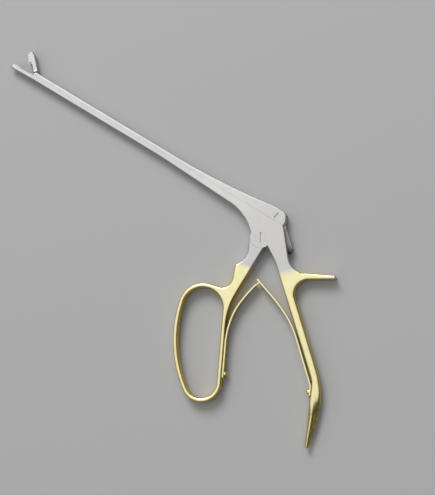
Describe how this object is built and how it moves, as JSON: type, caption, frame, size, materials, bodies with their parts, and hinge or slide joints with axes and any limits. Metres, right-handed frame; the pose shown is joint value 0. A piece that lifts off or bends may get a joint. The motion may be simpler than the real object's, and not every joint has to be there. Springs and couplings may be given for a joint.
{
  "type": "cervical biopsy punch",
  "caption": "Slim sliding-shaft biopsy punch: squeezing the finger loop towards the rear handle slides the upper bar and shuts the cutting upper jaw.",
  "frame": {"origin": "where the main pivot's axis meets the flat side of the head, the side that the instrument lies on", "axes": "+X along the shaft from the jaws to the handles; +Y from the finger loop up to the sliding bar; +Z out of the side that faces up"},
  "size_m": [0.3004, 0.1371, 0.008],
  "materials": {
    "frame_steel": "satin steel; the rear handle, the saddle and the spur are plated pale gold",
    "slider_steel": "satin",
    "jaw_steel": "satin, ground cutting edge",
    "lever_gilt": "pale gold plating, polished; satin steel above it",
    "hinge_pin_steel": "polished, ground flush",
    "drive_pin_steel": "polished, ground flush",
    "pivot_screw_steel": "satin, slotted, flush with the head",
    "link_screw_steel": "satin, slotted, flush with the head",
    "front_spring_gilt": "pale gold plating on spring steel",
    "rear_spring_gilt": "pale gold plating on spring steel",
    "front_spring_screw_gilt": "polished pale gold plating",
    "rear_spring_screw_gilt": "polished pale gold plating"
  },
  "bodies": {
    "frame": {"fixed_frame": "frame_steel", "main_pivot_screw": "pivot_screw_steel", "jaw_hinge_pin": "hinge_pin_steel", "rear_leaf_spring": "rear_spring_gilt", "rear_spring_screw": "rear_spring_screw_gilt"},
    "lever": {"finger_loop_lever": "lever_gilt", "front_leaf_spring": "front_spring_gilt", "front_spring_screw": "front_spring_screw_gilt"},
    "slider": {"sliding_shaft": "slider_steel", "link_screw": "link_screw_steel", "jaw_drive_pin": "drive_pin_steel"},
    "jaw": {"upper_jaw": "jaw_steel"}
  },
  "joints": [
    {"name": "lever_squeeze", "type": "hinge", "parent": "frame", "child": "lever", "pos_m": [0, 0, 0], "axis": [0, 0, 1], "range_deg": [0, 7.59], "stiffness_Nm_per_rad": 1.5, "springref_deg": -17.19, "deforming": ["front_leaf_spring", "rear_leaf_spring"]},
    {"name": "shaft_slide", "type": "slide", "parent": "frame", "child": "slider", "axis": [-1, 0, 0], "range_m": [0, 0.00228]},
    {"name": "jaw_bite", "type": "hinge", "parent": "frame", "child": "jaw", "pos_m": [-0.1877, 0.01255, 0], "axis": [0, 0, 1], "range_deg": [0, 45.01]}
  ],
  "couplings": [
    {"joint": "shaft_slide", "follows": "lever_squeeze", "m_per_rad": 0.017187},
    {"joint": "jaw_bite", "follows": "lever_squeeze", "ratio": 5.9253}
  ]
}
